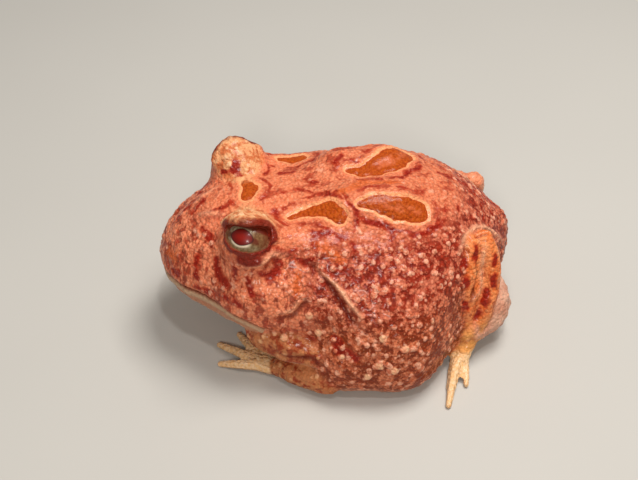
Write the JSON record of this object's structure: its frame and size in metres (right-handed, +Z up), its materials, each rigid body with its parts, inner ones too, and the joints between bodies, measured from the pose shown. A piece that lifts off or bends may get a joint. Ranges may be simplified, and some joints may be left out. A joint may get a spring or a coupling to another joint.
{
  "type": "argentine horned frog",
  "caption": "life-size still model of a young horned frog of the red and orange colour form, squatting flat on its belly with its hind legs folded against its rump",
  "frame": {"origin": "on the floor, under the middle of the belly's flat", "axes": "-Y is the way the frog faces, +X is its left side, +Z is up"},
  "size_m": [0.0468, 0.0516, 0.0249],
  "materials": {
    "skin": "moist warty skin, salmon pink with red blotches and orange back patches",
    "jaw_skin": "moist smooth skin, pale cream",
    "limb_skin": "moist skin, orange with red spots, paler on the digits",
    "eye": "wet clear cornea over an olive and cream iris with a red pupil"
  },
  "bodies": {
    "root": {"torso": "skin", "head": "skin", "lower_jaw": "jaw_skin", "eye_left": "eye", "upper_arm_left": "limb_skin", "forearm_left": "limb_skin", "hand_left": "limb_skin", "thigh_left": "limb_skin", "shank_left": "limb_skin", "foot_left": "limb_skin", "eye_right": "eye", "upper_arm_right": "limb_skin", "forearm_right": "limb_skin", "hand_right": "limb_skin", "thigh_right": "limb_skin", "shank_right": "limb_skin", "foot_right": "limb_skin"}
  },
  "joints": []
}
